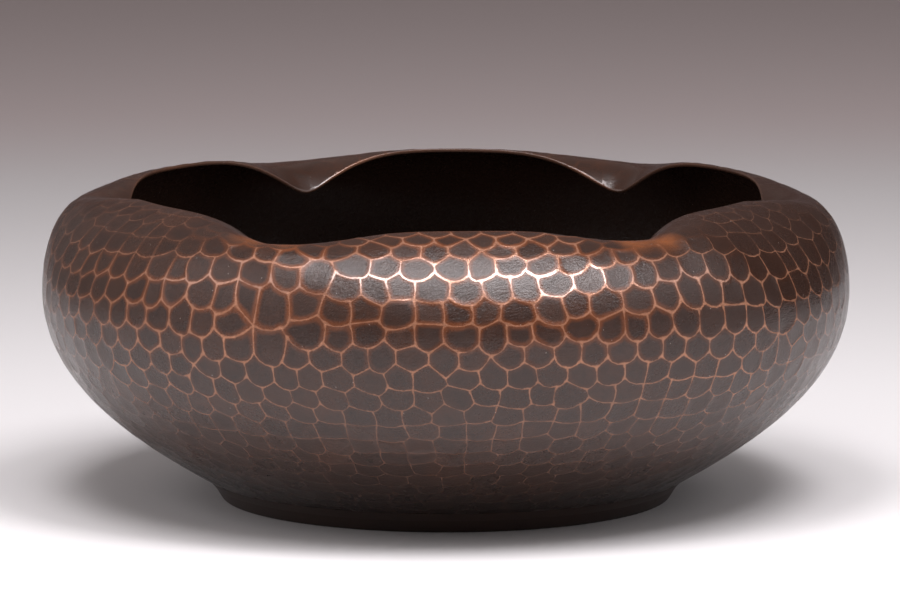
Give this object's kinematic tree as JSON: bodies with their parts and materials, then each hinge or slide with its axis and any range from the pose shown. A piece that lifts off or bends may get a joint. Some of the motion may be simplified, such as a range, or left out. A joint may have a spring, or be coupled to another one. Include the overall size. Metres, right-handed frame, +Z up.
{
  "type": "hammered copper bowl",
  "caption": "Round hand-raised copper bowl with a lobed, in-turned rim and a soldered foot ring, for holding fruit, flowers or small things.",
  "frame": {"origin": "centre of the foot ring's lower face, on the surface that the bowl stands on", "axes": "+Z up along the bowl's axis; -Y towards the front, the broadest lobe's side"},
  "size_m": [0.27, 0.27, 0.105],
  "materials": {
    "body_copper": "hand-hammered copper, dark brown patina worn to bright copper on the ridges",
    "foot_copper": "smooth copper strip, dark brown patina",
    "solder": "hard solder, patinated with the copper"
  },
  "bodies": {
    "root": {"bowl_body": "body_copper", "foot_ring": "foot_copper", "solder_seam": "solder"}
  },
  "joints": []
}
